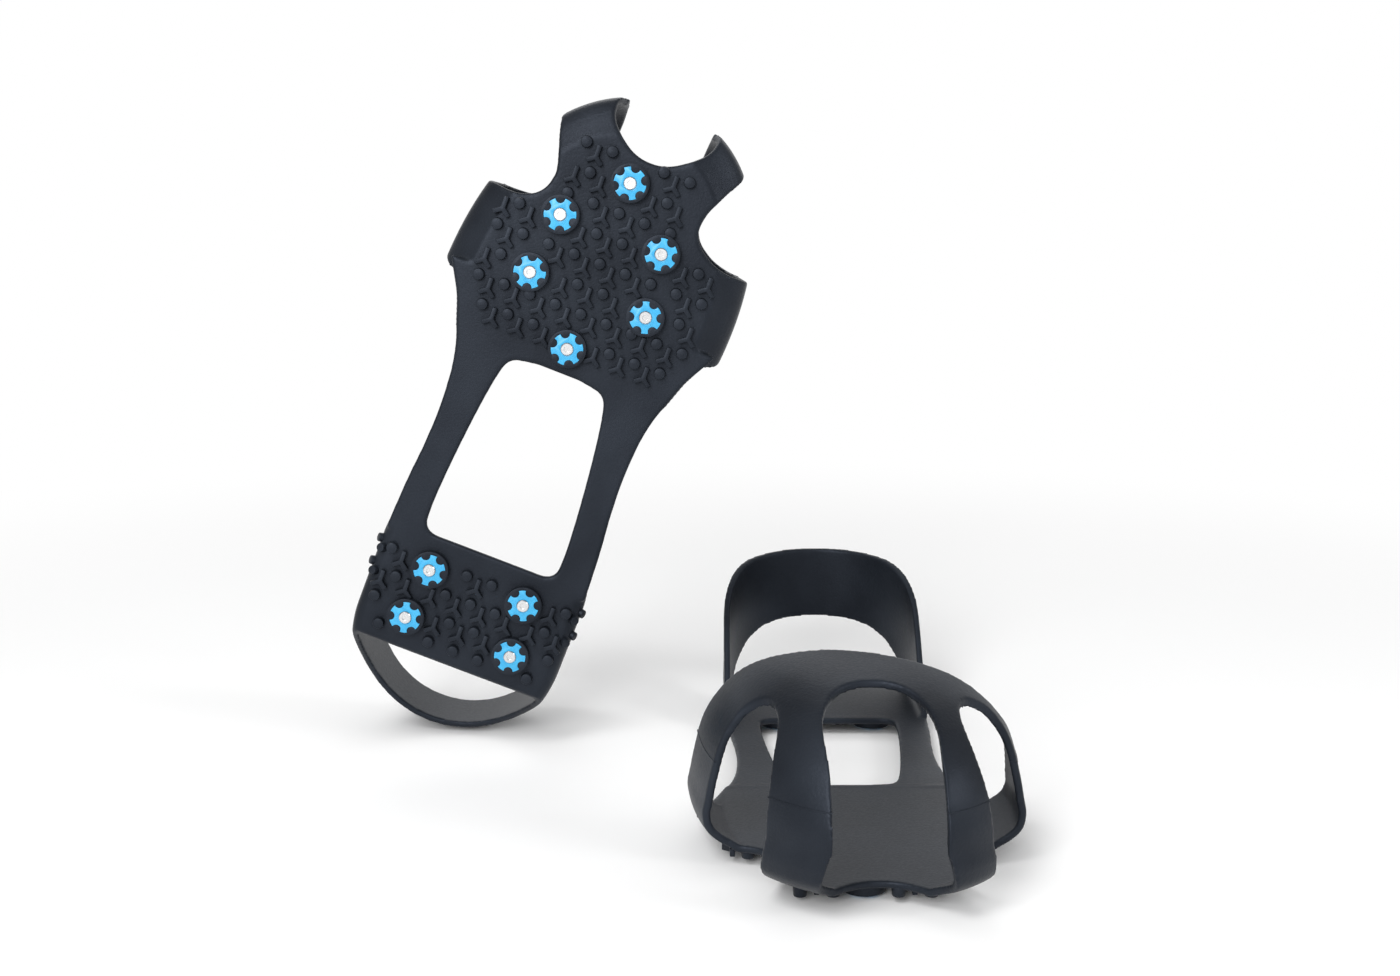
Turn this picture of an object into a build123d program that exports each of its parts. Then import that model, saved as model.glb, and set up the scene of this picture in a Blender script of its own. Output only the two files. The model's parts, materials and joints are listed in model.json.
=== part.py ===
"""A pair of slip-on ice cleats: two moulded rubber harnesses, each with ten steel-tipped studs.

Cleat frame: x across the foot, y from the back of the boot heel to the toe, z from the
stud tips up to the foot.  One cleat is built in that frame and placed twice: the right one
stands flat on its studs, the left one stands on its heel with the sole facing forward.
"""
import math
import os

from build123d import *

os.makedirs("parts", exist_ok=True)

# ------------------------------------------------------------------ driving dimensions (mm)
sheet = 3.0               # wall of the rubber moulding
boss_height = 4.0         # rubber boss under the sheet
pin_proud = 1.0           # steel tip below the boss
nub_height = 3.5          # tread nubs under the sheet
ball_y = 205.0            # widest place of the forefoot
toe_reach = 95.0          # from there to the front of the toe cage
ball_half_width = 64.0    # half the width of the toe cage, outside
cage_height = 74.0        # sole sheet to the top of the toe band, outside
cage_back_y = 172.0       # the cage form ends here, under the ball of the foot
toe_skew = -6.0           # sideways lean of the toe end
oval_power = 2.2          # squareness of the cage outline
split_height = 30.0       # toe straps meet the toe band here
strap_rear_y = 205.0      # rear edge of the side straps at the sole
strap_rear_height = 64.0  # above this the rear edge is the band's
strap_overhang = 6.5      # the side strap stands out past the sole sheet
band_rear_out = 206.0     # rear edge of the band at the outer side of the foot
band_rear_in = 242.0      # and at its inner side
middle_opening_y = 250.0  # top of the middle opening, in plan
middle_opening_half = 19.5
middle_opening_rise = 2.0    # it starts this much above the floor
toe_arch_y = 274.0        # the floor ends here between the toe straps
toe_arch_half = 27.0      # and the gap is this wide at the straps' feet
toe_arch_top = 26.0       # above this the toe straps keep their width
toe_strap_splay = 5.0     # the straps' feet reach this much further sideways
beyond = 330.0            # past the toe, for open ends of cutters
outside = 100.0           # past the widest place, likewise
notch_radius = 5.0        # corners of the side openings
arch_y = 130.0            # the rails flex here
joint_gap = 0.8           # clearance at each flex zone
window_front_y = 175.0
window_rear_y = 88.5
window_half_front = 23.0
window_half_rear = 31.8
window_corner = 6.0
heel_half_width = 47.5
heel_back_y = -3.5
heel_pad_rear_y = 35.0
heel_split_height = 14.0
heel_strap_top = 70.0
heel_strap_back_low = 36.0
heel_overlap = 4.0        # the heel's sheet runs this far under the rails
heel_corner = 6.0         # rounding under the heel's edge
pull_tab_width = 26.0
pull_tab_rise = 8.0
plate_radius = 6.95
boss_rim = 1.35           # rubber of the boss round the plate
plate_root_radius = 4.7   # depth of the six bites in the plate's rim
plate_bite_radius = 2.05
plate_thickness = 1.2
plate_clearance = 0.1
pin_diameter = 5.4
pin_flange_diameter = 9.0
pin_flange_thickness = 1.2
pin_flange_rise = 0.5     # the flange lies this far inside the sheet
pin_clearance = 0.1
pin_dimple_diameter = 2.5
pin_dimple_depth = 0.6
pin_edge = 0.3
nub_diameter = 5.2
nub_row_pitch = 11.5
nub_pitch = 11.7
nub_origin_y = 249.5
nub_keep = 0.3            # nubs stay this far from a boss
tread_rear_y = 180.0      # the forefoot's tread, from here
tread_front_y = 272.0     # to here
tread_toe_half = 26.0     # half its width between the toe straps
tread_ball_half = 47.0    # at the ball
tread_waist_half = 41.0   # and behind it
heel_tread_margin = 10.0  # bare edge of the heel
lean_angle = 21.5         # the left cleat leans sideways by this much
left_place = (-126.0, 709.0)      # the left heel across and away; it stands on its heel strap
right_place = (59.0, 826.0)       # the right heel across and away; it stands on its studs

# places of the studs: forefoot then heel
forefoot_studs = [(0, 263), (-23, 240), (23, 240), (-26.5, 212.5), (26.5, 212.5), (0, 187.5)]
heel_studs = [(-22, 74), (22, 74), (-24.7, 50), (24.7, 50)]
stud_turns = [0, 22, 41, 12, 50, 33, 8, 27, 46, 17]

# ------------------------------------------------------------------ levels worked out from them
boss_diameter = 2 * (plate_radius + boss_rim)
boss_face = pin_proud
underside = boss_face + boss_height
floor_top = underside + sheet
pin_flange_low = underside + pin_flange_rise
cage_top = underside + cage_height


def skewed(x, y):
    """A plan point moved sideways by the lean of the toe end."""
    return (x + toe_skew * max(y - ball_y, 0) / toe_reach, y)


def oval(half_width, reach, count=9):
    """Plan points of the cage's rounded front, from +x round the toe to -x."""
    points = []
    for step in range(count):
        angle = math.pi * step / (count - 1)
        c, s = math.cos(angle), math.sin(angle)
        x = half_width * math.copysign(abs(c) ** (2 / oval_power), c)
        y = reach * abs(s) ** (2 / oval_power)
        points.append(skewed(x, ball_y + y))
    return points


# the cage's outside: height as a share of the cage's own, half-width and reach as shares
cage_levels = [
    (0.000, 0.80, 0.83), (0.095, 0.955, 0.968), (0.184, 1.00, 1.00), (0.284, 0.985, 1.00),
    (0.432, 0.95, 0.99), (0.595, 0.90, 0.93), (0.716, 0.83, 0.842), (0.811, 0.745, 0.737),
    (0.892, 0.631, 0.60), (0.946, 0.492, 0.453), (1.000, 0.26, 0.21),
]


def cage_section(height, wide, long, inset):
    """One closed plan section of the cage, set in by the wall where asked."""
    with BuildSketch(Plane.XY.offset(height)) as section:
        with BuildLine():
            half = ball_half_width * wide - inset
            front = oval(half, toe_reach * long - inset)
            Spline(*front, tangents=((0, 1), (0, -1)))
            Polyline(front[-1], (-half, cage_back_y), (half, cage_back_y), front[0])
        make_face()
    return section.sketch


def cage_solid(inset):
    """The cage as one closed form; the inner one starts on the floor and stays a wall below."""
    base = underside + inset
    top = cage_top - inset
    with BuildPart() as form:
        for share, wide, long in cage_levels:
            add(cage_section(base + share * (top - base), wide, long, inset))
        loft()
    return form.part


# ------------------------------------------------------------------ the sole's plan outlines
# outer edge of the sole sheet, from the side strap through the waist to the heel
sole_edge = [(ball_half_width - strap_overhang, strap_rear_y + 1), (53.2, 195.0), (50.0, 184.0), (45.2, 168.0),
             (43.2, 148.0), (43.6, 128.0), (45.4, 108.0),
             (heel_half_width - 0.7, window_rear_y - heel_overlap)]


def sole_sketch(low_y, high_y):
    """The sole sheet between two places along the foot, with the arch window left open."""
    with BuildSketch(Plane.XY.offset(underside)) as sole:
        with BuildLine():
            edge = Spline(*sole_edge)
            mirror(edge, about=Plane.YZ)
            Line(edge @ 0, (-sole_edge[0][0], sole_edge[0][1]))
            Line(edge @ 1, (-sole_edge[-1][0], sole_edge[-1][1]))
        make_face()
        with Locations((0, (low_y + high_y) / 2)):
            Rectangle(4 * ball_half_width, high_y - low_y, mode=Mode.INTERSECT)
        add(window_sketch(), mode=Mode.SUBTRACT)
    return sole.sketch


def window_sketch():
    """The arch window, wider towards the heel."""
    corners = [(-window_half_rear, window_rear_y), (-window_half_front, window_front_y),
               (window_half_front, window_front_y), (window_half_rear, window_rear_y)]
    with BuildSketch(Plane.XY.offset(underside)) as window:
        with BuildLine():
            FilletPolyline(*corners, radius=window_corner, close=True)
        make_face()
    return window.sketch


def toe_arch_sketch(height, half):
    """Between the toe straps: an arch of the floor's edge, open past the toe."""
    left = skewed(-half, toe_arch_y + 20)
    right = skewed(half, toe_arch_y + 20)
    with BuildSketch(Plane.XY.offset(height)) as arch:
        with BuildLine():
            Spline(right, skewed(0, toe_arch_y), left, tangents=((-0.5, -1), (-0.5, 1)))
            Polyline(left, (left[0] - 2, beyond), (right[0] + 2, beyond), right)
        make_face()
    return arch.sketch


def notch_sketch(height, side, splay):
    """Opening between a toe strap and a side strap, open outwards."""
    notch = [(outside, 242), (53, 241), (38, 246), (31, 257), (32 + splay / 2, 268),
             (40 + splay, 281 - splay / 2), (60, 304), (outside, beyond)]
    with BuildSketch(Plane.XY.offset(height)) as opening:
        with BuildLine():
            FilletPolyline(*[skewed(side * x, y) for x, y in notch], radius=notch_radius, close=True)
        make_face()
    return opening.sketch


def plate_sketch(grow):
    """The gear-shaped plate: a disc with six round bites, grown by a clearance."""
    with BuildSketch(Plane.XY.offset(boss_face)) as plate:
        Circle(plate_radius + grow)
        with PolarLocations(plate_root_radius + plate_bite_radius, 6, start_angle=30):
            Circle(plate_bite_radius - grow, mode=Mode.SUBTRACT)
    return plate.sketch


def seat_tool():
    """What a boss gives up for one plate and one pin."""
    with BuildPart() as tool:
        add(plate_sketch(plate_clearance))
        extrude(amount=plate_thickness)
        with BuildSketch(Plane.XY.offset(boss_face)):
            Circle(pin_diameter / 2 + pin_clearance)
        extrude(amount=pin_flange_low - boss_face)
        with BuildSketch(Plane.XY.offset(pin_flange_low - pin_clearance)):
            Circle(pin_flange_diameter / 2 + pin_clearance)
        extrude(amount=pin_flange_thickness + 2 * pin_clearance)
    return tool.part


def stud_spots(places, turns):
    return [Location((x, y, 0), (0, 0, turn)) for (x, y), turn in zip(places, turns)]


def nub_places(low_y, high_y, half_at, studs):
    """Tread nubs in staggered rows, clear of the studs and the pad's edge."""
    places = []
    keep = boss_diameter / 2 + nub_diameter / 2 + nub_keep
    first = math.floor((low_y - nub_origin_y) / nub_row_pitch)
    last = math.ceil((high_y - nub_origin_y) / nub_row_pitch)
    for row in range(first, last + 1):
        y = nub_origin_y + row * nub_row_pitch
        for column in range(-6, 7):
            x = (column + 0.5 * (row % 2)) * nub_pitch
            if not low_y < y < high_y or abs(x) > half_at(y):
                continue
            if all(math.dist((x, y), stud) > keep for stud in studs):
                places.append((x, y))
    return places


def forefoot_half(y):
    """How far the forefoot's tread reaches sideways."""
    if y > 243:
        return tread_toe_half
    return tread_waist_half if y < 200 else tread_ball_half


def heel_half(y):
    """The heel's tread is as wide all the way."""
    return heel_half_width - heel_tread_margin


def sole_furniture(studs, nubs):
    """Bosses and nubs under a sheet."""
    with BuildPart() as under:
        with BuildSketch(Plane.XY.offset(boss_face)):
            with Locations(*studs):
                Circle(boss_diameter / 2)
        extrude(amount=boss_height)
        with BuildSketch(Plane.XY.offset(underside - nub_height)):
            with Locations(*nubs):
                Circle(nub_diameter / 2)
        extrude(amount=nub_height)
    return under.part


# ------------------------------------------------------------------ forefoot and toe band
with BuildPart() as cage:
    add(cage_solid(0))
    add(cage_solid(sheet), mode=Mode.SUBTRACT)
    # middle opening, above the floor
    with BuildSketch(Plane.XY.offset(floor_top + middle_opening_rise)):
        with BuildLine():
            left = skewed(-middle_opening_half, toe_arch_y)
            right = skewed(middle_opening_half, toe_arch_y)
            Spline(right, skewed(0, middle_opening_y), left, tangents=((0, -1), (0, 1)))
            Polyline(left, (left[0] - 2, beyond), (right[0] + 2, beyond), right)
        make_face()
    extrude(amount=cage_top, mode=Mode.SUBTRACT)
    # toe arch in the floor, narrower upwards
    add(toe_arch_sketch(0, toe_arch_half))
    add(toe_arch_sketch(toe_arch_top, middle_opening_half))
    loft(ruled=True, mode=Mode.SUBTRACT)
    # openings between the toe straps and the side straps
    for side in (1, -1):
        add(notch_sketch(0, side, toe_strap_splay))
        add(notch_sketch(toe_arch_top, side, 0))
        loft(ruled=True, mode=Mode.SUBTRACT)
        add(notch_sketch(toe_arch_top, side, 0))
        extrude(amount=cage_top - toe_arch_top + sheet, mode=Mode.SUBTRACT)
    # rear edge of the side straps and the band, further forward at the inner side
    for side, high_y in ((1, band_rear_out), (-1, band_rear_in)):
        middle_y = (strap_rear_y + high_y) / 2 - 2
        above = cage_top + 2 * sheet
        edge = [(strap_rear_y, floor_top), (middle_y, 0.65 * strap_rear_height), (high_y, strap_rear_height),
                (high_y, above)]
        with BuildSketch(Plane.YZ.offset(side * (ball_half_width + 5))):
            with BuildLine():
                Spline(*edge)
                Polyline(edge[-1], (arch_y, above), (arch_y, floor_top), edge[0])
            make_face()
    loft(ruled=True, mode=Mode.SUBTRACT)
    # the waist: nothing of the cage outside the sole's edge
    for side in (1, -1):
        with BuildSketch(Plane.XY):
            with BuildLine():
                edge = Spline(*[(side * x, y) for x, y in sole_edge])
                Polyline(edge @ 1, (side * outside, sole_edge[-1][1]), (side * outside, sole_edge[0][1]),
                         edge @ 0)
            make_face()
        extrude(amount=floor_top, mode=Mode.SUBTRACT)
    add(window_sketch())
    extrude(amount=sheet, mode=Mode.SUBTRACT)
    add(sole_sketch(arch_y + joint_gap / 2, cage_back_y))
    extrude(amount=sheet)

stud_tool = seat_tool()

with BuildPart() as forefoot:
    add(cage.part)
    split(bisect_by=Plane.XY.offset(split_height - joint_gap / 2), keep=Keep.BOTTOM)
    add(sole_furniture(forefoot_studs, nub_places(tread_rear_y, tread_front_y, forefoot_half, forefoot_studs)))
    with Locations(*stud_spots(forefoot_studs, stud_turns)):
        add(stud_tool, mode=Mode.SUBTRACT)

with BuildPart() as toe_band:
    add(cage.part)
    split(bisect_by=Plane.XY.offset(split_height + joint_gap / 2), keep=Keep.TOP)


# ------------------------------------------------------------------ heel pad and heel strap
def heel_plan(inset, height):
    """The heel's plan: straight sides and a rounded back."""
    half = heel_half_width - inset
    back = heel_back_y + inset
    turn_y = heel_back_y + heel_half_width + sheet
    front_y = window_rear_y + 20
    shoulder = (0.72 * half, back + 0.3 * (turn_y - back))
    with BuildSketch(Plane.XY.offset(height)) as plan:
        with BuildLine():
            Spline((half, turn_y), shoulder, (0, back), (-shoulder[0], shoulder[1]), (-half, turn_y),
                   tangents=((0, -1), (0, 1)))
            Polyline((-half, turn_y), (-half, front_y), (half, front_y), (half, turn_y))
        make_face()
    return plan.sketch


def heel_solid(inset):
    """Upright walls on a rounded bottom edge; the inner one starts on the floor."""
    base = underside + inset
    with BuildPart() as form:
        for rise, tuck in ((0, 0.8), (0.25, 0.32), (0.6, 0.08), (1, 0)):
            add(heel_plan(inset + tuck * heel_corner, base + rise * heel_corner))
        add(heel_plan(inset, underside + heel_strap_top))
        loft(ruled=True)
    return form.part


heel_front_y = window_rear_y + heel_overlap

with BuildPart() as heel_form:
    add(heel_solid(0))
    add(heel_solid(sheet), mode=Mode.SUBTRACT)
    # side view of the strap
    with BuildSketch(Plane.YZ):
        with BuildLine():
            rear = heel_back_y - 2
            low = [(heel_pad_rear_y, underside + 1), (heel_pad_rear_y - 9, 17), (14, 28),
                   (rear, heel_strap_back_low)]
            high = [(rear, heel_strap_top), (20, heel_strap_top - 5), (48, 46), (68, 26), (82, 14),
                    (heel_front_y, floor_top)]
            Line((heel_pad_rear_y, 0), low[0])
            Spline(*low)
            Line(low[-1], high[0])
            Spline(*high)
            Polyline(high[-1], (heel_front_y, 0), (heel_pad_rear_y, 0))
        make_face()
    extrude(amount=heel_half_width + 5, both=True, mode=Mode.INTERSECT)
    add(window_sketch())
    extrude(amount=sheet, mode=Mode.SUBTRACT)
    add(sole_sketch(sole_edge[-1][1], arch_y - joint_gap / 2))
    extrude(amount=sheet)

with BuildPart() as heel:
    add(heel_form.part)
    split(bisect_by=Plane.XY.offset(heel_split_height - joint_gap / 2), keep=Keep.BOTTOM)
    add(sole_furniture(heel_studs, nub_places(heel_pad_rear_y + 3, window_rear_y - 3, heel_half, heel_studs)))
    with Locations(*stud_spots(heel_studs, stud_turns[len(forefoot_studs):])):
        add(stud_tool, mode=Mode.SUBTRACT)

with BuildPart() as heel_strap:
    add(heel_form.part)
    split(bisect_by=Plane.XY.offset(heel_split_height + joint_gap / 2), keep=Keep.TOP)
    with BuildSketch(Plane.XZ.offset(-heel_back_y - sheet / 2)):
        with Locations((0, heel_strap_top - 4)):
            RectangleRounded(pull_tab_width, 2 * pull_tab_rise, 5)
        Rectangle(2 * pull_tab_width, 2 * (heel_strap_top - 6), mode=Mode.SUBTRACT)
    extrude(amount=sheet / 2, both=True)


# ------------------------------------------------------------------ one stud
with BuildPart() as plate:
    add(plate_sketch(0))
    extrude(amount=plate_thickness)
    with BuildSketch(Plane.XY.offset(boss_face)):
        Circle(pin_diameter / 2 + pin_clearance)
    extrude(amount=plate_thickness, mode=Mode.SUBTRACT)

with BuildPart() as pin:
    with BuildSketch(Plane.XY):
        Circle(pin_diameter / 2)
    extrude(amount=pin_flange_low + pin_flange_thickness)
    with BuildSketch(Plane.XY.offset(pin_flange_low)):
        Circle(pin_flange_diameter / 2)
    extrude(amount=pin_flange_thickness)
    with BuildSketch(Plane.XY):
        Circle(pin_dimple_diameter / 2)
    extrude(amount=pin_dimple_depth, mode=Mode.SUBTRACT)
    chamfer(pin.faces().sort_by(Axis.Z)[0].outer_wire().edges(), length=pin_edge)

# ------------------------------------------------------------------ the pair, placed
pieces = {"forefoot": forefoot.part, "toe_band": toe_band.part, "heel": heel.part,
          "heel_strap": heel_strap.part}
for number, spot in enumerate(stud_spots(forefoot_studs + heel_studs, stud_turns), start=1):
    pieces[f"stud_plate_{number:02d}"] = spot * plate.part
    pieces[f"stud_pin_{number:02d}"] = spot * pin.part

lean = math.radians(lean_angle)
leaning = Plane(origin=(0, 0, 0), x_dir=(-math.cos(lean), 0, math.sin(lean)), z_dir=(0, 1, 0))
strap_low = (leaning.location * heel_strap.part).bounding_box().min.Z
left_plane = Plane(origin=(*left_place, -strap_low), x_dir=leaning.x_dir, z_dir=leaning.z_dir)
right_plane = Plane(origin=(*right_place, 0), x_dir=(-1, 0, 0), z_dir=(0, 0, 1))

placed = {}
for side, plane in (("left", left_plane), ("right", right_plane)):
    for name, piece in pieces.items():
        placed[f"{side}_{name}"] = plane.location * piece

# the pair's own frame: origin on the floor under the middle of its box
boxes = [piece.bounding_box() for piece in placed.values()]
low = [min(tuple(box.min)[axis] for box in boxes) for axis in range(3)]
high = [max(tuple(box.max)[axis] for box in boxes) for axis in range(3)]
origin = Location((-(low[0] + high[0]) / 2, -(low[1] + high[1]) / 2, -low[2]))
for name, piece in placed.items():
    moved = origin * piece
    moved.label = name
    export_step(moved, f"parts/{name}.step")

print("box", low, high, "origin", origin.position)
for side, plane in (("left", left_plane), ("right", right_plane)):
    print(side, "cleat frame at", (origin * plane.location).position)
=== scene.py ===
# %% [markdown]
# # A pair of slip-on ice cleats
# Each cleat is one rubber moulding, the harness, with ten studs let into its sole. The right cleat
# stands flat on its studs and the left one stands on its heel with the sole facing forward.
# Both are the same moulding, so the harness is modelled once, in a frame of its own, and copied
# to its two places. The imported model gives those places, so nothing is fitted by eye.

# %% Load the frame
import json
import math

import bmesh
import bpy
from mathutils import Matrix, Vector


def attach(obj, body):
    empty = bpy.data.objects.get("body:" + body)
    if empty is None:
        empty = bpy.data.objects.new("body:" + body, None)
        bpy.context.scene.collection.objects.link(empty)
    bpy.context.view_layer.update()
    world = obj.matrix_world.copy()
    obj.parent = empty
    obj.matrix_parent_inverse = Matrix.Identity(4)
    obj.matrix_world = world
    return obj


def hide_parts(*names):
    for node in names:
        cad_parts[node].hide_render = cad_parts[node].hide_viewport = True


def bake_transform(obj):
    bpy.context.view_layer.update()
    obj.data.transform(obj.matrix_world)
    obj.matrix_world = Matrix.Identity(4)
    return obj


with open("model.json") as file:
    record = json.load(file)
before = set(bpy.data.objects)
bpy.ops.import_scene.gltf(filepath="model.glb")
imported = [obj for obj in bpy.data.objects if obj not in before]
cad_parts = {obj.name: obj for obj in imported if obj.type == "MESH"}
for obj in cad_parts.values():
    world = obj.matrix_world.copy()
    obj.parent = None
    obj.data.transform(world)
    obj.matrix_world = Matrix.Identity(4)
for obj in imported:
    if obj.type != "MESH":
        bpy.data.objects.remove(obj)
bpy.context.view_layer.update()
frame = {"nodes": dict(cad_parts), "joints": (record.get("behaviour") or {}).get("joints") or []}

MM = 0.001

# %% [markdown]
# A cleat's own frame has x across the foot, y from the back of the heel to the toe and z from the
# stud tips up to the foot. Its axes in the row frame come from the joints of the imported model:
# the arch hinge lies across the foot, and the toe band slides up and away from the sole.

# %% Places of the two cleats
joints = {joint["name"]: joint for joint in frame["joints"]}
ARCH_Y = 130.0
FLOOR_TOP = 8.0


def cleat_frame(side, across_sign):
    """Matrix from a cleat's own frame, in millimetres, to the row frame, in metres."""
    hinge = joints[f"{side}_arch_flex"]
    across = Vector(hinge["axis"]).normalized() * across_sign
    up = Vector(joints[f"{side}_toe_band_stretch"]["axis"]).normalized()
    along = up.cross(across)
    rotation = Matrix((across, along, up)).transposed()
    start = Vector(hinge["pos_m"]) - rotation @ Vector((0, ARCH_Y, FLOOR_TOP)) * MM
    return Matrix.Translation(start) @ rotation.to_4x4() @ Matrix.Scale(MM, 4)


cleats = {"left": cleat_frame("left", 1), "right": cleat_frame("right", -1)}
print({side: [round(v, 4) for v in place.translation] for side, place in cleats.items()})

# %% [markdown]
# ## Sizes
# These are the driving sizes of the moulding in millimetres, the same as in the CAD source.

# %% Driving sizes
SHEET = 3.0
UNDERSIDE = 5.0
BOSS_FACE = 1.0
CAGE_TOP = 79.0
BALL_Y = 205.0
TOE_REACH = 95.0
BALL_HALF_WIDTH = 64.0
CAGE_BACK_Y = 176.0
TOE_SKEW = -6.0
OVAL_POWER = 2.2
MIDDLE_HALF = 19.5
TOE_ARCH_Y = 274.0
TOE_ARCH_HALF = 27.0
TOE_ARCH_TOP = 26.0
STRAP_SPLAY = 5.0
STRAP_REAR_Y = 205.0
BAND_REAR = {1: 206.0, -1: 242.0}
PARTING_HEIGHT = 41.0
WINDOW_FRONT_Y = 175.0
WINDOW_REAR_Y = 88.5
WINDOW_FRONT_HALF = 23.0
WINDOW_REAR_HALF = 31.8
WINDOW_CORNER = 7.0
HEEL_HALF_WIDTH = 47.5
HEEL_BACK_Y = -3.5
HEEL_PAD_REAR_Y = 35.0
HEEL_CORNER = 6.0
HEEL_TOP = 75.0
FOREFOOT_STUDS = [(0, 263), (-23, 240), (23, 240), (-26.5, 212.5), (26.5, 212.5), (0, 187.5)]
HEEL_STUDS = [(-22, 74), (22, 74), (-24.7, 50), (24.7, 50)]
STUD_TURNS = [0, 22, 41, 12, 50, 33, 8, 27, 46, 17]

# each level of the cage: height above the underside, half-width and reach, as shares of the largest
CAGE_LEVELS = [
    (0.000, 0.80, 0.83), (0.095, 0.955, 0.968), (0.184, 1.00, 1.00), (0.284, 0.985, 1.00),
    (0.432, 0.95, 0.99), (0.595, 0.90, 0.93), (0.716, 0.83, 0.842), (0.811, 0.745, 0.737),
    (0.892, 0.631, 0.60), (0.946, 0.492, 0.453), (1.000, 0.26, 0.21),
]

# from the side strap round to the toe strap's outer edge, on the outer and inner side of the foot
SIDE_OPENING = {
    1: [(57, 242), (50, 241.5), (43, 242.5), (37, 246.5), (34.5, 254), (35, 262), (37.5, 271),
        (41.5, 281)],
    -1: [(57, 242), (48, 242.5), (40, 245.5), (33, 251.5), (30.5, 260), (32, 271), (37, 282)],
}

# the sole's outer edge, from the side strap through the waist to the heel
SOLE_EDGE = [(61.0, 207.0), (57.0, 199.5), (53.2, 192.5), (49.8, 183.0), (45.2, 168.0), (43.2, 148.0),
             (43.6, 128.0), (45.4, 108.0), (46.8, 84.5)]
print("cleat", HEEL_BACK_Y, "to", BALL_Y + TOE_REACH, "long,", 2 * BALL_HALF_WIDTH, "wide")

# %% [markdown]
# ## Helpers
# Most steps begin the same way: nothing else selected, one object active, and all of it picked in
# edit mode. These few functions keep the steps below short.

# %% Helpers for objects
def none_selected():
    for other in bpy.context.selected_objects:
        other.select_set(False)


def only(obj):
    """Select and activate one object."""
    none_selected()
    obj.hide_set(False)
    obj.select_set(True)
    bpy.context.view_layer.objects.active = obj


def edit_all(obj):
    """Enter edit mode on one object, with all of it selected."""
    only(obj)
    bpy.ops.object.mode_set(mode="EDIT")
    bpy.ops.mesh.select_mode(type="VERT")
    bpy.ops.mesh.select_all(action="SELECT")


def done():
    bpy.ops.object.mode_set(mode="OBJECT")


def shown(name, data):
    """A new object in the scene."""
    obj = bpy.data.objects.new(name, data)
    bpy.context.scene.collection.objects.link(obj)
    return obj


def apply(obj, kind, **settings):
    """Add one modifier and apply it."""
    only(obj)
    bpy.ops.object.modifier_add(type=kind)
    modifier = obj.modifiers[-1]
    for key, value in settings.items():
        setattr(modifier, key, value)
    bpy.ops.object.modifier_apply(modifier=modifier.name)


def cut(obj, cutter, operation="DIFFERENCE"):
    """Boolean one closed form with another, and drop the cutter."""
    apply(obj, "BOOLEAN", object=cutter, operation=operation, solver="MANIFOLD")
    bpy.data.objects.remove(cutter)


def named(name):
    """The active object, given a name."""
    obj = bpy.context.view_layer.objects.active
    obj.name = name
    obj.data.name = name
    return obj


def joined(objects, name):
    none_selected()
    for obj in objects:
        obj.select_set(True)
    bpy.context.view_layer.objects.active = objects[0]
    bpy.ops.object.join()
    return named(name)


def faces_outward(obj):
    edit_all(obj)
    bpy.ops.mesh.normals_make_consistent(inside=False)
    done()
    return obj


# %% [markdown]
# A closed outline drawn as a curve is the easiest way to a plate or a cutter with smooth edges.
# The curve is two-dimensional and filled, is given a height by extrusion, and becomes a mesh.
# "AUTO" handles make a smooth line through the points and "VECTOR" handles a corner. A point with a
# third element is a corner.

# %% Outline to plate
CORNER = ("corner",)
MERGE = 0.001


def plate_from(outlines, low, high, name, depth_axis="Z"):
    """A plate between two levels from closed outlines; later outlines are holes."""
    none_selected()
    bpy.ops.curve.primitive_bezier_circle_add(radius=1)
    obj = named(name)
    curve = obj.data
    curve.splines.clear()
    curve.dimensions = "2D"
    curve.fill_mode = "BOTH"
    curve.resolution_u = 8
    for outline in outlines:
        spline = curve.splines.new("BEZIER")
        spline.bezier_points.add(len(outline) - 1)
        spline.use_cyclic_u = True
        for point, place in zip(spline.bezier_points, outline):
            point.co = (place[0], place[1], 0)
            point.handle_left_type = point.handle_right_type = "VECTOR" if len(place) > 2 else "AUTO"
    curve.extrude = (high - low) / 2
    only(obj)
    bpy.ops.object.convert(target="MESH")
    edit_all(obj)
    bpy.ops.mesh.remove_doubles(threshold=MERGE)
    bpy.ops.mesh.normals_make_consistent(inside=False)
    done()
    obj.data.transform(Matrix.Translation((0, 0, (high + low) / 2)))
    if depth_axis == "X":
        obj.data.transform(Matrix(((0, 0, 1, 0), (1, 0, 0, 0), (0, 1, 0, 0), (0, 0, 0, 1))))
    return obj


# %% [markdown]
# ## The toe cage
# The cage follows the toe of a boot: an oval in plan that bulges over the welt and closes over the
# toe box. By hand it is one circle extruded upwards ring by ring, each ring resized to the foot at
# its height. A profile curve through the measured levels gives the rings in between.

# %% Rings of the cage
def skewed(x, y):
    """The toe end leans to one side."""
    return x + TOE_SKEW * max(y - BALL_Y, 0) / TOE_REACH, y


def cage_point(angle, wide, long):
    """A point of the oval in plan; behind the ball it is nearly square."""
    c, s = math.cos(angle), math.sin(angle)
    power = 2 / OVAL_POWER if s > 0 else 0.25
    x = BALL_HALF_WIDTH * wide * math.copysign(abs(c) ** power, c)
    y = (TOE_REACH * long if s > 0 else CAGE_BACK_Y - BALL_Y) * abs(s) ** power
    return skewed(x, BALL_Y + y)


def smooth_levels(levels, steps):
    """More levels between the given ones, along a smooth curve."""
    none_selected()
    bpy.ops.curve.primitive_bezier_curve_add()
    obj = named("profile")
    obj.data.splines.clear()
    spline = obj.data.splines.new("BEZIER")
    spline.bezier_points.add(len(levels) - 1)
    for point, level in zip(spline.bezier_points, levels):
        point.co = level
        point.handle_left_type = point.handle_right_type = "AUTO"
    obj.data.resolution_u = steps
    only(obj)
    bpy.ops.object.convert(target="MESH")
    rings = [tuple(vertex.co) for vertex in obj.data.vertices]
    bpy.data.objects.remove(obj)
    return rings


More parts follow.
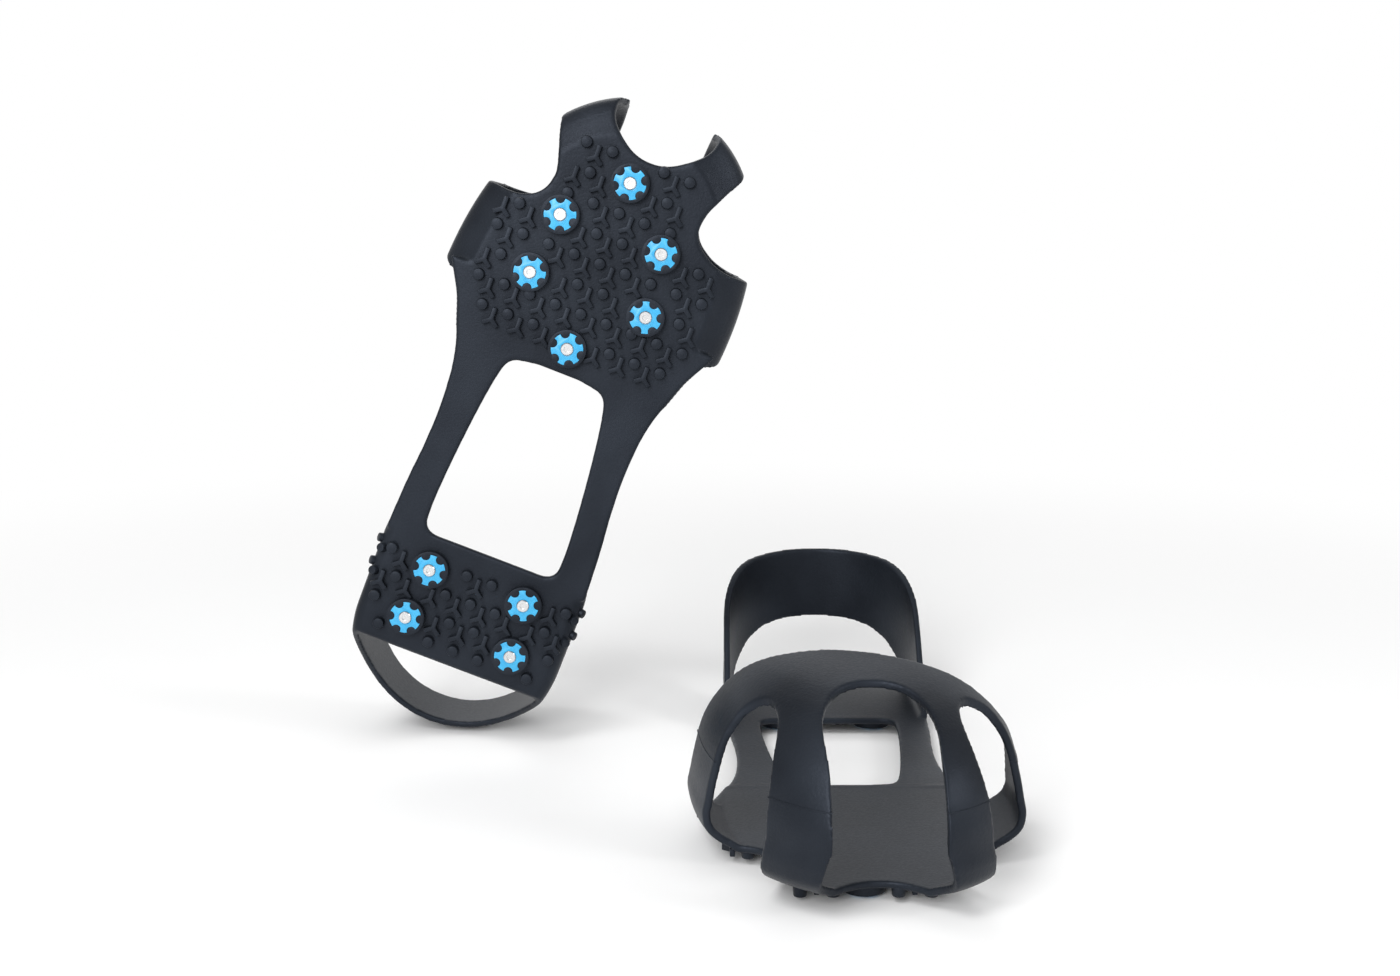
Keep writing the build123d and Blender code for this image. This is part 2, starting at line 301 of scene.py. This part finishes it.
def ringed_form(name, rings, count, place):
    """A closed form from one circle, extruded ring by ring; place(ring, angle) gives a point."""
    none_selected()
    bpy.ops.mesh.primitive_circle_add(vertices=count, fill_type="NGON", radius=1)
    obj = named(name)
    edit_all(obj)
    angle_at = {}
    for number, ring in enumerate(rings):
        if number:
            bpy.ops.mesh.extrude_region_move(TRANSFORM_OT_translate={"value": (0, 0, 1)})
        mesh = bmesh.from_edit_mesh(obj.data)
        moved = {}
        for vertex in mesh.verts:
            if not vertex.select:
                continue
            spot = (round(vertex.co.x, 4), round(vertex.co.y, 4))
            angle = angle_at[spot] if number else math.atan2(vertex.co.y, vertex.co.x)
            vertex.co = place(ring, angle)
            moved[(round(vertex.co.x, 4), round(vertex.co.y, 4))] = angle
        angle_at = moved
        bmesh.update_edit_mesh(obj.data)
    done()
    return faces_outward(obj)


RING_STEPS = 4
RING_POINTS = 128
levels = [((CAGE_TOP - UNDERSIDE) * share, wide, long) for share, wide, long in CAGE_LEVELS]
cage = ringed_form(
    "cage", smooth_levels(levels, RING_STEPS), RING_POINTS,
    lambda ring, angle: (*cage_point(angle, ring[1], ring[2]), UNDERSIDE + ring[0]))
apply(cage, "SOLIDIFY", thickness=SHEET, offset=-1, use_even_offset=True)
print("cage", len(cage.data.vertices), "vertices")

# %% [markdown]
# ## Openings of the cage
# On the real moulding the four straps are what is left between the openings. The same is done here:
# upright cutters take out the middle opening, the toe arch in the floor and the two side openings,
# and a slanted one takes off everything behind the straps and the band. No cutter ends in a plane of
# the cage's own floor, because a boolean can't tell the inside from the outside there.

# %% Cut the openings
BEYOND = 330
ABOVE = 100


def taper(obj, level, move):
    """Move what lies below a level, so that an upright cutter slants."""
    for vertex in obj.data.vertices:
        if vertex.co.z < level:
            vertex.co.x, vertex.co.y = move(vertex.co.x, vertex.co.y)
    obj.data.update()
    return obj


def gap_outline(apex_y, shoulder):
    """The gap between the toe straps, a round arch open past the toe."""
    half = MIDDLE_HALF
    side = [(half + 1, BEYOND) + CORNER, (half, TOE_ARCH_Y + 18), (half * shoulder, apex_y + 8)]
    points = side + [(0, apex_y)] + [(-p[0],) + tuple(p[1:]) for p in reversed(side)]
    return [skewed(p[0], p[1]) + tuple(p[2:]) for p in points]


def arch_foot(x, y):
    """The toe arch is wider at the floor than at its top."""
    centre = skewed(0, y)[0]
    return centre + (x - centre) * TOE_ARCH_HALF / MIDDLE_HALF, y


MIDDLE_Y = 250
cut(cage, plate_from([gap_outline(MIDDLE_Y, 0.8)], FLOOR_TOP + 2, ABOVE, "middle_cutter"))
arch_cutter = plate_from([gap_outline(TOE_ARCH_Y, 0.7)], 0, TOE_ARCH_TOP, "arch_cutter")
cut(cage, taper(arch_cutter, 1, arch_foot))

for side in (1, -1):
    notch = [(95, 242) + CORNER, *SIDE_OPENING[side], (60, 306), (95, BEYOND) + CORNER]
    notch = [skewed(side * place[0], place[1]) + tuple(place[2:]) for place in notch]

    def notch_foot(x, y):
        share = min(max((y - 255) / 25, 0), 1)
        return x + side * STRAP_SPLAY * share, y - STRAP_SPLAY / 2 * share

    cut(cage, taper(plate_from([notch], 0, TOE_ARCH_TOP, "notch_cutter"), 1, notch_foot))
    cut(cage, plate_from([notch], TOE_ARCH_TOP - 0.01, ABOVE, "side_cutter"))
print("cage with openings", len(cage.data.vertices), "vertices")

# %% [markdown]
# The rear edge of the side straps and the band runs further forward on the inner side of the foot,
# so its cutter has one profile on each side with straight walls between them.

# %% Cut the rear edge
REAR_LOW = FLOOR_TOP + 0.3
REAR_HIGH = CAGE_TOP + 6
BEHIND = 130
rows = []
for side in (-1, 1):
    band_y = BAND_REAR[side]
    edge = smooth_levels(
        [(STRAP_REAR_Y - 5, REAR_LOW, 0), (STRAP_REAR_Y - 0.5, 20, 0),
         ((STRAP_REAR_Y + band_y) / 2 - 2, 42, 0), (band_y, 64, 0), (band_y, REAR_HIGH, 0)], 8)
    profile = [(y, z) for y, z, _ in edge] + [(BEHIND, REAR_HIGH), (BEHIND, REAR_LOW)]
    rows.append([(side * (BALL_HALF_WIDTH + 5), y, z) for y, z in profile])
count = len(rows[0])
walls = [(i, (i + 1) % count, (i + 1) % count + count, i + count) for i in range(count)]
caps = [tuple(range(count)), tuple(range(2 * count - 1, count - 1, -1))]
mesh = bpy.data.meshes.new("rear_cutter")
mesh.from_pydata(rows[0] + rows[1], [], walls + caps)
cut(cage, faces_outward(shown("rear_cutter", mesh)))
print("cage, straps and band", len(cage.data.vertices), "vertices")

# %% [markdown]
# The mould closed along a line half way up the straps and left a hair of flash there. It is a thin
# slice of the cage itself, a little larger than the wall that it runs round.

# %% Flash at the parting line
FLASH_HALF = 0.2
FLASH_GROWTH = 1.004
flash = shown("flash", cage.data.copy())
around = [(-99, 150) + CORNER, (99, 150) + CORNER, (99, BEYOND) + CORNER, (-99, BEYOND) + CORNER]
slab = plate_from([around], PARTING_HEIGHT - FLASH_HALF, PARTING_HEIGHT + FLASH_HALF, "slab")
cut(flash, slab, "INTERSECT")
middle = Vector((skewed(0, 240)[0], 240, 0))
larger = Matrix.Diagonal((FLASH_GROWTH, FLASH_GROWTH, 1, 1))
flash.data.transform(Matrix.Translation(middle) @ larger @ Matrix.Translation(-middle))
print("flash", len(flash.data.vertices), "vertices")

# %% [markdown]
# ## Rails and window
# Two flat rails join the forefoot to the heel round an open window under the arch. They are one
# plate with a hole, drawn as two outlines, so the smooth waist needs no extra work. The floor of the
# cage is trimmed to the same outline.

# %% Plate with the window
def rounded(corners, radius):
    """Three points for each corner, so that a smooth line rounds it."""
    points = []
    for i, corner in enumerate(corners):
        here = Vector(corner)
        back = (Vector(corners[i - 1]) - here).normalized()
        onward = (Vector(corners[(i + 1) % len(corners)]) - here).normalized()
        points += [tuple(here + back * radius), tuple(here + (back + onward) * radius * 0.29),
                   tuple(here + onward * radius)]
    return points


waist = [SOLE_EDGE[0] + CORNER] + SOLE_EDGE[1:-1] + [SOLE_EDGE[-1] + CORNER]
outline = waist + [(-p[0],) + tuple(p[1:]) for p in reversed(waist)]
window = rounded([(-WINDOW_REAR_HALF, WINDOW_REAR_Y), (-WINDOW_FRONT_HALF, WINDOW_FRONT_Y),
                  (WINDOW_FRONT_HALF, WINDOW_FRONT_Y), (WINDOW_REAR_HALF, WINDOW_REAR_Y)], WINDOW_CORNER)
rails = plate_from([outline, window], UNDERSIDE, FLOOR_TOP, "rails")
print("rails", len(rails.data.vertices), "vertices")
for side in (1, -1):
    beside = [(side * p[0],) + tuple(p[1:]) for p in waist]
    beside += [(side * 100, SOLE_EDGE[-1][1]) + CORNER, (side * 100, SOLE_EDGE[0][1]) + CORNER]
    cut(cage, plate_from([beside], 0, FLOOR_TOP + 0.1, "waist_cutter"))

# %% [markdown]
# ## Heel
# The heel is a shallow cup: a floor with upright sides and a rounded back. What remains of it after
# the side view is cut is the heel pad and the strap that hugs the back of the boot.

# %% Heel cup
def heel_point(tuck, angle):
    """A point of the cup in plan, tucked in where the floor turns up into the wall."""
    c, s = math.cos(angle), math.sin(angle)
    half = HEEL_HALF_WIDTH - tuck
    back = HEEL_BACK_Y + tuck
    turn_y = HEEL_BACK_Y + HEEL_HALF_WIDTH + 3
    if s < 0:
        return half * c, turn_y + (turn_y - back) * s
    return half * math.copysign(abs(c) ** 0.2, c), turn_y + 75 * abs(s) ** 0.2


heel_levels = [(0, 0.8 * HEEL_CORNER, 0), (1.5, 0.32 * HEEL_CORNER, 0), (3.6, 0.08 * HEEL_CORNER, 0),
               (HEEL_CORNER, 0, 0), (20, 0, 0), (40, 0, 0), (HEEL_TOP - UNDERSIDE, 0, 0)]
heel = ringed_form(
    "heel", smooth_levels(heel_levels, RING_STEPS), RING_POINTS,
    lambda ring, angle: (*heel_point(ring[1], angle), UNDERSIDE + ring[0]))
apply(heel, "SOLIDIFY", thickness=SHEET, offset=-1, use_even_offset=True)
side_view = [(HEEL_PAD_REAR_Y, -2) + CORNER, (HEEL_PAD_REAR_Y, 6) + CORNER, (26, 17), (14, 28), (4, 33),
             (-9, 36) + CORNER, (-9, 70) + CORNER, (4, 68.8), (20, 65), (48, 46), (68, 26), (80, 14),
             (WINDOW_REAR_Y, 8) + CORNER, (WINDOW_REAR_Y, -2) + CORNER]
cut(heel, plate_from([side_view], -60, 60, "heel_side_view", depth_axis="X"), "INTERSECT")
print("heel", len(heel.data.vertices), "vertices")

# %% [markdown]
# ## One moulding
# The plate, the cage and the heel overlap a little. A voxel remesh turns them into one skin, as the
# rubber is, and a light smoothing rounds every edge the way a mould's edges are rounded.

# %% Fuse and round
VOXEL = 0.7
harness = joined([cage, rails, heel], "harness")
apply(harness, "REMESH", mode="VOXEL", voxel_size=VOXEL * 1, adaptivity=0)
apply(harness, "SMOOTH", factor=0.5, iterations=8)
apply(harness, "DECIMATE", ratio=0.35)
print("harness", len(harness.data.polygons), "faces")

# %% [markdown]
# The harness bends at three places, so it is parted where the rubber does not move: the front covers
# the forefoot and the toe band, the arch the waist between forefoot and heel, the back heel and heel
# strap.

# %% Part the harness
FRONT_CUT_Y = 168.0
REAR_CUT_Y = 94.0


def slice_of(obj, name, low_y=None, high_y=None):
    """A copy of the part of obj between two places along the foot, closed at the cuts."""
    piece = shown(name, obj.data.copy())
    for place, inner in ((low_y, True), (high_y, False)):
        if place is not None:
            edit_all(piece)
            bpy.ops.mesh.bisect(plane_co=(0, place, 0), plane_no=(0, 1, 0), use_fill=True,
                                clear_inner=inner, clear_outer=not inner)
            done()
    return piece


harness_parts = {
    "front": slice_of(harness, "harness_front", low_y=FRONT_CUT_Y),
    "arch": slice_of(harness, "harness_arch", low_y=REAR_CUT_Y, high_y=FRONT_CUT_Y),
    "heel": slice_of(harness, "harness_heel", high_y=REAR_CUT_Y),
}
bpy.data.objects.remove(harness)
print({part: len(piece.data.polygons) for part, piece in harness_parts.items()})
harness_parts["front"] = joined([harness_parts["front"], flash], "harness_front")

# %% [markdown]
# ## Studs
# A stud is a round rubber boss with a blue plastic plate let into it and a steel pin in the middle.
# The plate is a disc with six round bites out of its rim, so what is left looks like a gear with six
# teeth, and rubber fills the bites. The boss is a cylinder that the grown plate has been cut from.

# %% Plate and boss
PLATE_RADIUS = 6.95
PLATE_ROOT = 4.7
BITE_RADIUS = 2.05
PLATE_THICK = 1.2
BOSS_RADIUS = 8.3
PIN_RADIUS = 2.7


def cylinder(radius, low, high, name, vertices=64, place=(0, 0)):
    none_selected()
    bpy.ops.mesh.primitive_cylinder_add(vertices=vertices, radius=radius, depth=high - low,
                                        location=(place[0], place[1], (low + high) / 2))
    bpy.ops.object.transform_apply(location=True)
    return named(name)


def lobed_plate(grow, low, high, name):
    """The gear-shaped plate, grown by a clearance."""
    plate = cylinder(PLATE_RADIUS + grow, low, high, name, 96)
    for sixth in range(6):
        angle = math.radians(30 + 60 * sixth)
        reach = PLATE_ROOT + BITE_RADIUS
        bite = cylinder(BITE_RADIUS - grow, low - 1, high + 1, "bite", 32,
                        (reach * math.cos(angle), reach * math.sin(angle)))
        cut(plate, bite)
    return plate


def soft_edges(obj, width):
    """A small rounding on every sharp edge, and smooth shading."""
    edit_all(obj)
    bpy.ops.mesh.remove_doubles(threshold=MERGE)
    bpy.ops.mesh.dissolve_limited(angle_limit=math.radians(1))
    done()
    apply(obj, "BEVEL", width=width, segments=2, limit_method="ANGLE", angle_limit=math.radians(35),
          harden_normals=False)
    only(obj)
    bpy.ops.object.shade_smooth_by_angle(angle=math.radians(40))
    return obj


plate_master = lobed_plate(0, BOSS_FACE - 0.15, BOSS_FACE + PLATE_THICK, "plate_master")
cut(plate_master, cylinder(PIN_RADIUS + 0.1, -2, 6, "pin_hole", 48))
soft_edges(plate_master, 0.2)

boss_master = cylinder(BOSS_RADIUS, BOSS_FACE, UNDERSIDE + 1, "boss_master", 72)
cut(boss_master, lobed_plate(0.1, BOSS_FACE - 1, BOSS_FACE + PLATE_THICK + 0.05, "plate_seat"))
soft_edges(boss_master, 0.35)
print("plate", len(plate_master.data.polygons), "faces, boss", len(boss_master.data.polygons), "faces")

# %% [markdown]
# ## Tread
# Between the studs the sole carries round nubs in staggered rows with a three-armed rib between every
# two of them. One nub and one rib are modelled and copied over the rows.

# %% Nub and rib
NUB_PITCH = 11.7
ROW_PITCH = 11.5
NUB_ORIGIN_Y = 249.5
NUB_HEIGHT = 3.5
RIB_HEIGHT = 2.6
RIB_WIDTH = 2.0
RIB_BACK = 4.6


def nub_master():
    """A round nub that hangs from just inside the sheet and narrows towards the ground."""
    root = UNDERSIDE + 0.6
    none_selected()
    bpy.ops.mesh.primitive_cone_add(vertices=20, radius1=2.75, radius2=2.4, depth=NUB_HEIGHT + 0.6,
                                    location=(0, 0, root - (NUB_HEIGHT + 0.6) / 2))
    bpy.ops.object.transform_apply(location=True)
    nub = named("nub_master")
    nub.data.transform(Matrix.Translation((0, 0, root - NUB_HEIGHT)) @ Matrix.Scale(-1, 4, (0, 0, 1))
                       @ Matrix.Translation((0, 0, -root)))
    return soft_edges(faces_outward(nub), 0.3)


def rib_master():
    """Three straight arms that meet at one point."""
    arms = []
    for turn, length in ((90, 5.5), (90 + 127, 4.6), (90 - 127, 4.6)):
        none_selected()
        bpy.ops.mesh.primitive_cube_add(size=1, location=(0, 0, 0))
        arm = named("arm")
        tall = RIB_HEIGHT + 0.5
        arm.data.transform(Matrix.Rotation(math.radians(turn), 4, "Z")
                           @ Matrix.Translation((length / 2 - 0.3, 0, UNDERSIDE + 0.5 - tall / 2))
                           @ Matrix.Diagonal((length, RIB_WIDTH, tall, 1)))
        arms.append(arm)
    rib = arms[0]
    for arm in arms[1:]:
        cut(rib, arm, "UNION")
    rib.name = "rib_master"
    return soft_edges(rib, 0.3)


nub = nub_master()
rib = rib_master()


def spread(master, places, name):
    """One object with a copy of the master at each (x, y)."""
    copies = []
    for x, y in places:
        copy = shown(name, master.data.copy())
        copy.data.transform(Matrix.Translation((x, y, 0)))
        copies.append(copy)
    return joined(copies, name)


def lattice(low_y, high_y, half_at, studs, shift_x, shift_y, clear):
    """The staggered places of the rows that lie inside the pad and clear of the studs."""
    places = []
    for row in range(-22, 6):
        y = NUB_ORIGIN_Y + row * ROW_PITCH + shift_y
        for column in range(-6, 7):
            x = (column + 0.5 * (row % 2)) * NUB_PITCH + shift_x
            if low_y < y < high_y and abs(x) < half_at(y):
                if all(math.dist((x, y), stud) > clear for stud in studs):
                    places.append((x, y))
    return places


def forefoot_half(y):
    if y > 243:
        return 27.0
    return 42.0 if y < 200 else 47.0


def heel_half(_y):
    return HEEL_HALF_WIDTH - 5.5


def edge_nubs():
    """Nubs that stand out sideways from the rounded edge of the heel."""
    copies = []
    to_root = Matrix.Diagonal((0.8, 0.8, 0.8, 1)) @ Matrix.Translation((0, 0, -UNDERSIDE))
    for side in (1, -1):
        for y in (61.0, 72.0):
            for tilt, inward, rise in ((30, 2.6, 0.9), (62, 0.9, 4.4)):
                x = side * (HEEL_HALF_WIDTH - inward)
                place = Matrix.Translation((x, y + tilt / 10, UNDERSIDE + rise))
                copy = shown("edge_nub", nub.data.copy())
                copy.data.transform(place @ Matrix.Rotation(math.radians(-side * tilt), 4, "Y") @ to_root)
                copies.append(copy)
    return joined(copies, "edge_nubs")


pads = {
    "forefoot": (182, 273, forefoot_half, FOREFOOT_STUDS),
    "heel": (38, 85, heel_half, HEEL_STUDS),
}
tread_parts = {}
for pad, (low_y, high_y, half_at, studs) in pads.items():
    nubs = lattice(low_y, high_y, half_at, studs, 0, 0, BOSS_RADIUS + 1.2)
    ribs = lattice(low_y + 3, high_y - 4, half_at, studs, NUB_PITCH / 2, -RIB_BACK, BOSS_RADIUS + 3.0)
    parts = [spread(nub, nubs, "nubs"), spread(rib, ribs, "ribs")]
    if pad == "heel":
        parts.append(edge_nubs())
    tread_parts[pad] = joined(parts, f"{pad}_tread")
    print(pad, len(nubs), "nubs", len(ribs), "ribs")
bpy.data.objects.remove(nub)
bpy.data.objects.remove(rib)

# %% [markdown]
# ## Materials
# There are three finishes. The harness is black thermoplastic rubber from a textured mould, the
# plates are moulded sky-blue plastic and the pins are turned steel. Colours are given as the eye
# sees them and are turned to linear light. All the patterns are in object space and in real sizes.

# %% Material helpers
def linear(hex_colour):
    """sRGB hex to the linear colour that Blender mixes."""
    channels = [int(hex_colour[i:i + 2], 16) / 255 for i in (0, 2, 4)]
    return tuple(c / 12.92 if c <= 0.04045 else ((c + 0.055) / 1.055) ** 2.4 for c in channels) + (1.0,)


def node(tree, kind, settings=None, **links):
    """Add a node, set its properties and inputs, and link outputs of other nodes to it."""
    new = tree.nodes.new(kind)
    for key, value in (settings or {}).items():
        if hasattr(new, key):
            setattr(new, key, value)
        else:
            new.inputs[key].default_value = value
    for key, source in links.items():
        tree.links.new(source, new.inputs[key.replace("_", " ")])
    return new


def material(name):
    """A new material, its node tree and its main shader."""
    made = bpy.data.materials.new(name)
    made.use_nodes = True
    return made, made.node_tree, made.node_tree.nodes["Principled BSDF"]


# %% [markdown]
# Rubber from a spark-eroded mould is never quite matt: the eye sees a soft, slightly blue sheen on
# its curves, broken by a fine grain, and a faint cloudiness where the mould release dried.

# %% Rubber
GRAIN = 0.0011  # real grain is about 0.2 mm; it is drawn coarser so that it still shows
GRAIN_DEPTH = 0.00016
CLOUD = 0.035


def rubber_finish(name, deep, pale):
    made, tree, shader = material(name)
    place = node(tree, "ShaderNodeTexCoord")
    grain = node(tree, "ShaderNodeTexNoise", {"Scale": 1 / GRAIN, "Detail": 3.0, "Roughness": 0.6},
                 Vector=place.outputs["Object"])
    cloud = node(tree, "ShaderNodeTexNoise", {"Scale": 1 / CLOUD, "Detail": 2.0},
                 Vector=place.outputs["Object"])
    tone = node(tree, "ShaderNodeValToRGB", Fac=cloud.outputs["Fac"])
    tone.color_ramp.elements[0].position = 0.35
    tone.color_ramp.elements[0].color = linear(deep)
    tone.color_ramp.elements[1].position = 0.7
    tone.color_ramp.elements[1].color = linear(pale)
    tree.links.new(tone.outputs["Color"], shader.inputs["Base Color"])
    rough = node(tree, "ShaderNodeMapRange", {"To Min": 0.36, "To Max": 0.54}, Value=grain.outputs["Fac"])
    tree.links.new(rough.outputs["Result"], shader.inputs["Roughness"])
    bump = node(tree, "ShaderNodeBump", {"Strength": 0.6, "Distance": GRAIN_DEPTH},
                Height=grain.outputs["Fac"])
    tree.links.new(bump.outputs["Normal"], shader.inputs["Normal"])
    shader.inputs["IOR"].default_value = 1.36
    shader.inputs["Specular Tint"].default_value = linear("DCE8FF")
    return made


rubber = rubber_finish("moulded_rubber", "101318", "1E2228")
print(rubber.name, len(rubber.node_tree.nodes), "nodes")

# %% [markdown]
# The plates are dyed plastic from a polished mould: clear even colour, a smooth sheen and no more
# than a slight marbling of the dye.

# %% Blue plastic
MARBLING = 0.004
blue_plastic, tree, shader = material("moulded_blue_plastic")
place = node(tree, "ShaderNodeTexCoord")
tint = node(tree, "ShaderNodeTexNoise", {"Scale": 1 / MARBLING, "Detail": 2.0},
            Vector=place.outputs["Object"])
tone = node(tree, "ShaderNodeValToRGB", Fac=tint.outputs["Fac"])
tone.color_ramp.elements[0].color = linear("2795CB")
tone.color_ramp.elements[1].color = linear("45B4E2")
tree.links.new(tone.outputs["Color"], shader.inputs["Base Color"])
shader.inputs["Roughness"].default_value = 0.35

print(blue_plastic.name, len(blue_plastic.node_tree.nodes), "nodes")

# %% [markdown]
# The pins are turned from steel rod. The tool leaves fine marks, which the eye sees as a bright metal
# that is glossier in some spots than in others.

# %% Steel
TOOL_MARKS = 0.0006
steel, tree, shader = material("turned_steel")
place = node(tree, "ShaderNodeTexCoord")
marks = node(tree, "ShaderNodeTexNoise", {"Scale": 1 / TOOL_MARKS, "Detail": 4.0},
             Vector=place.outputs["Object"])
rough = node(tree, "ShaderNodeMapRange", {"To Min": 0.18, "To Max": 0.42}, Value=marks.outputs["Fac"])
shader.inputs["Base Color"].default_value = linear("D6D7D8")
shader.inputs["Metallic"].default_value = 1.0
tree.links.new(rough.outputs["Result"], shader.inputs["Roughness"])
print(steel.name, len(steel.node_tree.nodes), "nodes")

# %% [markdown]
# ## Placing the pair
# Every piece is copied to both cleats. The tread and the studs are told which body of the imported
# model they follow; the three pieces of the harness are placed where they lie and follow no body.

# %% Copies at both cleats
def placed_copy(source, name, place, finish):
    """A copy with its place in its own mesh, so that the object itself stays at the origin."""
    mesh = source.data.copy()
    mesh.transform(place)
    mesh.materials.clear()
    mesh.materials.append(finish)
    copy = shown(name, mesh)
    return copy


for part in harness_parts.values():
    only(part)
    bpy.ops.object.shade_smooth_by_angle(angle=math.radians(50))

BLENDS = {
    "front": ("forefoot", "toe_band", (0, 240, 12), (0, 240, 66), ("forefoot", "toe_band")),
    "arch": ("forefoot", "heel", (0, 165, 8), (0, 97, 8), ()),
    "heel": ("heel", "heel_strap", (0, 26, 10), (0, 26, 40), ("heel", "heel_strap")),
}
for side, place in cleats.items():
    for part, (first, second, start, end, hidden) in BLENDS.items():
        piece = placed_copy(harness_parts[part], f"{side}_harness_{part}", place, rubber)
        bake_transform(piece)
        if hidden:
            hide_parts(*[f"{side}_{n}" for n in hidden])
    for pad, tread in tread_parts.items():
        piece = placed_copy(tread, f"{side}_{pad}_tread", place, rubber)
        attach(piece, f"{side}_{pad}")
    for number, (spot, turn) in enumerate(zip(FOREFOOT_STUDS + HEEL_STUDS, STUD_TURNS), start=1):
        body = f"{side}_forefoot" if number <= len(FOREFOOT_STUDS) else f"{side}_heel"
        turned = (place @ Matrix.Translation((*spot, 0))
                  @ Matrix.Rotation(math.radians(turn), 4, "Z"))
        boss = placed_copy(boss_master, f"{side}_stud_boss_{number:02d}", turned, rubber)
        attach(boss, body)
        plate = placed_copy(plate_master, f"{side}_plate_{number:02d}", turned, blue_plastic)
        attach(plate, body)
        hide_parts(f"{side}_stud_plate_{number:02d}")
        pin = frame["nodes"][f"{side}_stud_pin_{number:02d}"]
        pin.data.materials.clear()
        pin.data.materials.append(steel)

for master in [*harness_parts.values(), *tread_parts.values(), plate_master, boss_master]:
    bpy.data.objects.remove(master)
print("placed", len(cleats), "cleats with", len(STUD_TURNS), "studs each")

# %% [markdown]
# ## Studio
# White paper curves up into a backdrop. It glows further out, as if lit from behind, so that only the
# floor near the pair shows shadows.

# %% Paper floor
PAPER_BEND = 12
BEND_STEP = 0.26
none_selected()
bpy.ops.mesh.primitive_plane_add(size=10, location=(0, -2, -0.0005))
bpy.ops.object.transform_apply(location=True)
floor = named("floor")
bpy.ops.object.mode_set(mode="EDIT")
bpy.ops.mesh.select_mode(type="EDGE")
bpy.ops.mesh.select_all(action="DESELECT")
mesh = bmesh.from_edit_mesh(floor.data)
for edge in mesh.edges:
    edge.select = all(vertex.co.y > 2 for vertex in edge.verts)
bmesh.update_edit_mesh(floor.data)
for step in range(PAPER_BEND):
    angle = math.radians(90 * (step + 0.5) / PAPER_BEND)
    bpy.ops.mesh.extrude_region_move(
        TRANSFORM_OT_translate={"value": (0, BEND_STEP * math.cos(angle), BEND_STEP * math.sin(angle))})
bpy.ops.mesh.extrude_region_move(TRANSFORM_OT_translate={"value": (0, 0, 4)})
done()
bpy.ops.object.shade_smooth()
floor_finish, tree, shader = material("white_paper")
shader.inputs["Base Color"].default_value = linear("FBFBFB")
shader.inputs["Roughness"].default_value = 0.9
shader.inputs["IOR"].default_value = 1.2
place = node(tree, "ShaderNodeTexCoord")
distance = node(tree, "ShaderNodeVectorMath", {"operation": "LENGTH"}, Vector=place.outputs["Object"])
far = node(tree, "ShaderNodeMapRange",
           {"interpolation_type": "SMOOTHSTEP", "From Min": 0.25, "From Max": 0.9},
           Value=distance.outputs["Value"])
glow = node(tree, "ShaderNodeEmission", {"Strength": 1.0})
blend = node(tree, "ShaderNodeMixShader", Fac=far.outputs["Result"])
tree.links.new(shader.outputs["BSDF"], blend.inputs[1])
tree.links.new(glow.outputs["Emission"], blend.inputs[2])
tree.links.new(blend.outputs["Shader"], tree.nodes["Material Output"].inputs["Surface"])
floor.data.materials.append(floor_finish)
print("floor", [round(length, 2) for length in floor.dimensions], "m")

# %% [markdown]
# One soft light stands above and another in front, with two weaker ones at the side and the back.
# The white room round them fills the shadows.

# %% Room and lights
ROOM_LIGHT = 0.45
world = bpy.context.scene.world or bpy.data.worlds.new("studio")
bpy.context.scene.world = world
world.use_nodes = True
sky = world.node_tree.nodes["Background"]
sky.inputs["Color"].default_value = linear("FFFFFF")
# the room lights the pair at less than half the strength at which it is seen, so it looks white
# behind the paper from any side
seen = node(world.node_tree, "ShaderNodeLightPath")
strength = node(world.node_tree, "ShaderNodeMapRange", {"To Min": ROOM_LIGHT, "To Max": 1.0},
                Value=seen.outputs["Is Camera Ray"])
world.node_tree.links.new(strength.outputs["Result"], sky.inputs["Strength"])


def soft_light(name, place, target, size, power):
    """A square light of a size in metres and a power in watts, turned to a target."""
    data = bpy.data.lights.new(name, "AREA")
    data.shape = "SQUARE"
    data.size = size
    data.energy = power
    lamp = shown(name, data)
    lamp.location = place
    lamp.rotation_euler = (Vector(target) - Vector(place)).to_track_quat("-Z", "Y").to_euler()
    print(name, power, "W")


soft_light("key", (-0.6, -1.0, 1.5), (0, 0, 0.1), 0.7, 12)
soft_light("front", (-0.45, -1.5, 0.75), (0, 0, 0.15), 0.7, 15)
soft_light("side", (1.3, -0.6, 0.8), (0, 0, 0.1), 0.5, 5)
soft_light("back", (-0.2, 1.2, 1.3), (0, 0, 0.1), 1.0, 2.5)

# %% [markdown]
# The camera stands at the height of a low table and looks ten degrees down at the pair.

# %% Camera
camera_data = bpy.data.cameras.new("camera")
camera_data.sensor_width = 36.0
camera_data.lens = 42.43
camera = shown("camera", camera_data)
camera.location = (0.0171, -0.6795, 0.247)
camera.rotation_euler = (math.radians(80), 0, 0)
bpy.context.scene.camera = camera
bpy.context.scene.view_settings.view_transform = "Standard"
print("camera", [round(v, 3) for v in camera.location], camera_data.lens, "mm")
